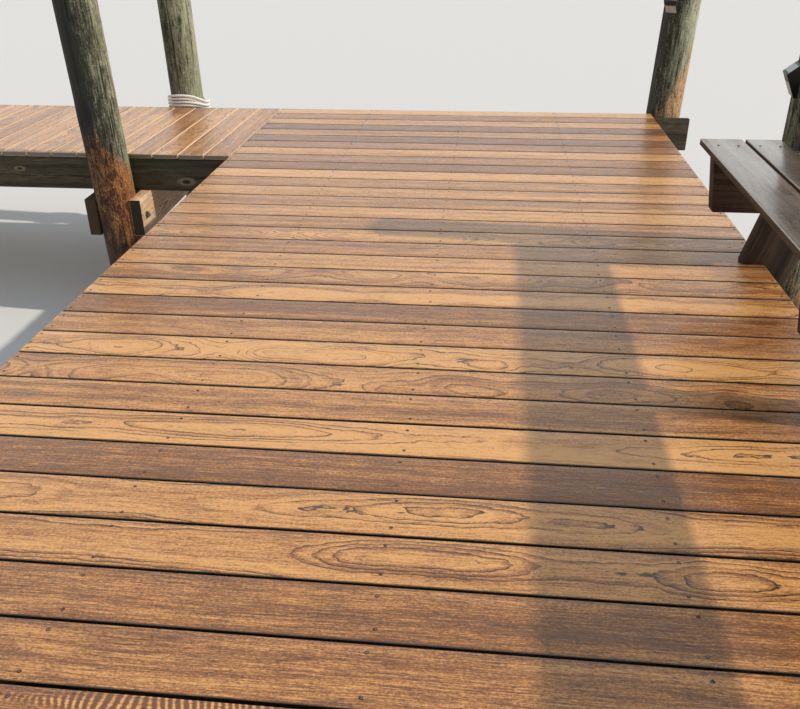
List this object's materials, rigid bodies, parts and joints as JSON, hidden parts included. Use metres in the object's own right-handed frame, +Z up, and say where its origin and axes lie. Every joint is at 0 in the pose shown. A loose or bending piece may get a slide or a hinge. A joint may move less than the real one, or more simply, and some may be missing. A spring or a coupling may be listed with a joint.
{
  "type": "timber jetty",
  "caption": "Timber jetty of hardwood boards on split caps and round piles, with a side walkway and a built-in bench.",
  "frame": {"origin": "centre of the corner pile's foot, at water level, where the walkway meets the platform", "axes": "+Z up, +X from the corner pile across the platform, +Y from it across the walkway"},
  "size_m": [8.4504, 8.2888, 2.16],
  "materials": {
    "hardwood_decking": "oiled hardwood boards, golden to dark brown, some greyed",
    "treated_framing": "weathered grey-green treated softwood, rough",
    "weathered_pile": "grey-green round timber with checks and orange-brown worn patches",
    "stained_bench_timber": "dark brown stain with a grey sheen",
    "lamp_housing": "black, slightly grained",
    "lamp_lens": "pale diffuser",
    "lamp_panel": "smooth panel that mirrors the sky",
    "mooring_rope": "white laid rope, slightly yellowed"
  },
  "bodies": {
    "root": {"bench_back": "stained_bench_timber", "bench_bracket_1": "stained_bench_timber", "bench_bracket_2": "stained_bench_timber", "bench_bracket_3": "stained_bench_timber", "bench_lamp_housing": "lamp_housing", "bench_pile": "weathered_pile", "bench_post_1": "stained_bench_timber", "bench_post_2": "stained_bench_timber", "bench_post_3": "stained_bench_timber", "corner_pile": "weathered_pile", "far_header": "treated_framing", "far_lamp_housing": "lamp_housing", "far_right_pile": "weathered_pile", "lamp_lenses": "lamp_lens", "lamp_panels": "lamp_panel", "mooring_rope": "mooring_rope", "near_header": "treated_framing", "platform_boards_1": "hardwood_decking", "platform_boards_2": "hardwood_decking", "platform_boards_3": "hardwood_decking", "platform_cap_pair_1": "treated_framing", "platform_cap_pair_2": "treated_framing", "platform_cap_pair_3": "treated_framing", "platform_inner_stringers": "treated_framing", "platform_pile_right_2": "weathered_pile", "platform_pile_right_3": "weathered_pile", "platform_piles_left": "weathered_pile", "platform_rim_left": "treated_framing", "platform_rim_right": "treated_framing", "rope_pile": "weathered_pile", "seat_plank_back": "stained_bench_timber", "seat_plank_front": "stained_bench_timber", "walkway_boards_1": "hardwood_decking", "walkway_boards_2": "hardwood_decking", "walkway_cap_pair_1": "treated_framing", "walkway_cap_pair_2": "treated_framing", "walkway_cap_pair_3": "treated_framing", "walkway_end_header": "treated_framing", "walkway_pile_far_2": "weathered_pile", "walkway_pile_far_3": "weathered_pile", "walkway_pile_near_2": "weathered_pile", "walkway_pile_near_3": "weathered_pile", "walkway_stringer_1": "treated_framing", "walkway_stringer_2": "treated_framing", "walkway_stringer_3": "treated_framing"}
  },
  "joints": []
}
